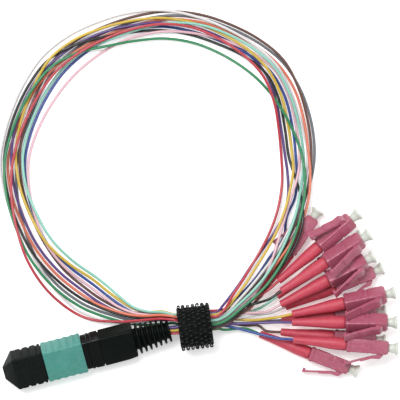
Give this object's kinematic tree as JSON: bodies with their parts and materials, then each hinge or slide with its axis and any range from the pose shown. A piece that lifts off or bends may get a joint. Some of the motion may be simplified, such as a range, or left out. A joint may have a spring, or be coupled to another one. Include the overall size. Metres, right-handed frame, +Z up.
{
  "type": "fibre optic fan-out cable",
  "caption": "Coiled loop of thin coloured fibres in a hook-and-loop strap, one flat multi-fibre plug, small single connectors with boots, all with dust caps",
  "frame": {"origin": "bottom centre of the box round the plug, strap and small connectors, on the floor that the cable lies on", "axes": "+Z is up, +X runs from the flat plug towards the small connectors, +Y from the strap across the loop"},
  "size_m": [0.1313, 0.125, 0.0151],
  "materials": {
    "boot_black": "matt black rubber",
    "boot_pink_red": "soft matt boot",
    "cap_milky": "milky, slightly see-through plastic",
    "ferrule_grey": "fine moulded plastic",
    "fibre_aqua": "smooth tight buffer, slightly glossy",
    "fibre_black": "smooth tight buffer, slightly glossy",
    "fibre_blue": "smooth tight buffer, slightly glossy",
    "fibre_brown": "smooth tight buffer, slightly glossy",
    "fibre_green": "smooth tight buffer, slightly glossy",
    "fibre_orange": "smooth tight buffer, slightly glossy",
    "fibre_red": "smooth tight buffer, slightly glossy",
    "fibre_rose": "smooth tight buffer, slightly glossy",
    "fibre_slate": "smooth tight buffer, slightly glossy",
    "fibre_violet": "smooth tight buffer, slightly glossy",
    "fibre_white": "smooth tight buffer, slightly glossy",
    "fibre_yellow": "smooth tight buffer, slightly glossy",
    "housing_magenta": "satin moulded plastic",
    "plug_black": "satin black plastic",
    "sleeve_aqua": "satin aqua plastic",
    "strap_black": "hook tape"
  },
  "bodies": {
    "cable": {"fibre_aqua": "fibre_aqua", "fibre_black": "fibre_black", "fibre_blue": "fibre_blue", "fibre_brown": "fibre_brown", "fibre_green": "fibre_green", "fibre_orange": "fibre_orange", "fibre_red": "fibre_red", "fibre_rose": "fibre_rose", "fibre_slate": "fibre_slate", "fibre_violet": "fibre_violet", "fibre_white": "fibre_white", "fibre_yellow": "fibre_yellow", "lc_boot_A": "boot_pink_red", "lc_boot_B": "boot_pink_red", "lc_boot_C": "boot_pink_red", "lc_boot_D": "boot_pink_red", "lc_boot_E": "boot_pink_red", "lc_boot_F": "boot_pink_red", "lc_boot_G": "boot_pink_red", "lc_boot_H": "boot_pink_red", "lc_boot_I": "boot_pink_red", "lc_boot_J": "boot_pink_red", "lc_boot_K": "boot_pink_red", "lc_boot_L": "boot_pink_red", "lc_housing_A": "housing_magenta", "lc_housing_B": "housing_magenta", "lc_housing_C": "housing_magenta", "lc_housing_D": "housing_magenta", "lc_housing_E": "housing_magenta", "lc_housing_F": "housing_magenta", "lc_housing_G": "housing_magenta", "lc_housing_H": "housing_magenta", "lc_housing_I": "housing_magenta", "lc_housing_J": "housing_magenta", "lc_housing_K": "housing_magenta", "lc_housing_L": "housing_magenta", "mpo_boot": "boot_black", "mpo_ferrule": "ferrule_grey", "mpo_plug_body": "plug_black", "strap": "strap_black"},
    "cap_A": {"lc_cap_A": "cap_milky"},
    "cap_B": {"lc_cap_B": "cap_milky"},
    "cap_C": {"lc_cap_C": "cap_milky"},
    "cap_D": {"lc_cap_D": "cap_milky"},
    "cap_E": {"lc_cap_E": "cap_milky"},
    "cap_F": {"lc_cap_F": "cap_milky"},
    "cap_G": {"lc_cap_G": "cap_milky"},
    "cap_H": {"lc_cap_H": "cap_milky"},
    "cap_I": {"lc_cap_I": "cap_milky"},
    "cap_J": {"lc_cap_J": "cap_milky"},
    "cap_K": {"lc_cap_K": "cap_milky"},
    "cap_L": {"lc_cap_L": "cap_milky"},
    "sleeve": {"mpo_coupling_sleeve": "sleeve_aqua"},
    "plug_cap": {"mpo_dust_cap": "plug_black"}
  },
  "joints": [
    {"name": "cap_A_pull", "type": "slide", "parent": "cable", "child": "cap_A", "axis": [0.5736, 0.8192, 0], "range_m": [0, 0.008]},
    {"name": "cap_B_pull", "type": "slide", "parent": "cable", "child": "cap_B", "axis": [0.763, 0.6448, 0.0446], "range_m": [0, 0.008]},
    {"name": "cap_C_pull", "type": "slide", "parent": "cable", "child": "cap_C", "axis": [0.8388, 0.5426, 0.0446], "range_m": [0, 0.008]},
    {"name": "cap_D_pull", "type": "slide", "parent": "cable", "child": "cap_D", "axis": [0.8875, 0.46, 0.0287], "range_m": [0, 0.008]},
    {"name": "cap_E_pull", "type": "slide", "parent": "cable", "child": "cap_E", "axis": [0.9285, 0.3714, 0], "range_m": [0, 0.008]},
    {"name": "cap_F_pull", "type": "slide", "parent": "cable", "child": "cap_F", "axis": [0.977, 0.2077, 0.0478], "range_m": [0, 0.008]},
    {"name": "cap_G_pull", "type": "slide", "parent": "cable", "child": "cap_G", "axis": [0.998, 0, 0.0637], "range_m": [0, 0.008]},
    {"name": "cap_H_pull", "type": "slide", "parent": "cable", "child": "cap_H", "axis": [0.9951, -0.0871, 0.0478], "range_m": [0, 0.008]},
    {"name": "cap_I_pull", "type": "slide", "parent": "cable", "child": "cap_I", "axis": [0.9336, -0.3584, 0], "range_m": [0, 0.008]},
    {"name": "cap_J_pull", "type": "slide", "parent": "cable", "child": "cap_J", "axis": [0.809, 0.5878, 0], "range_m": [0, 0.008]},
    {"name": "cap_K_pull", "type": "slide", "parent": "cable", "child": "cap_K", "axis": [0.9959, 0.0906, 0], "range_m": [0, 0.008]},
    {"name": "cap_L_pull", "type": "slide", "parent": "cable", "child": "cap_L", "axis": [0.9962, -0.0872, 0], "range_m": [0, 0.008]},
    {"name": "sleeve_slide", "type": "slide", "parent": "cable", "child": "sleeve", "axis": [0.9681, 0.2504, 0], "range_m": [0, 0.0015], "stiffness_N_per_m": 300},
    {"name": "plug_cap_pull", "type": "slide", "parent": "cable", "child": "plug_cap", "axis": [-0.9681, -0.2504, 0], "range_m": [0, 0.012]}
  ]
}
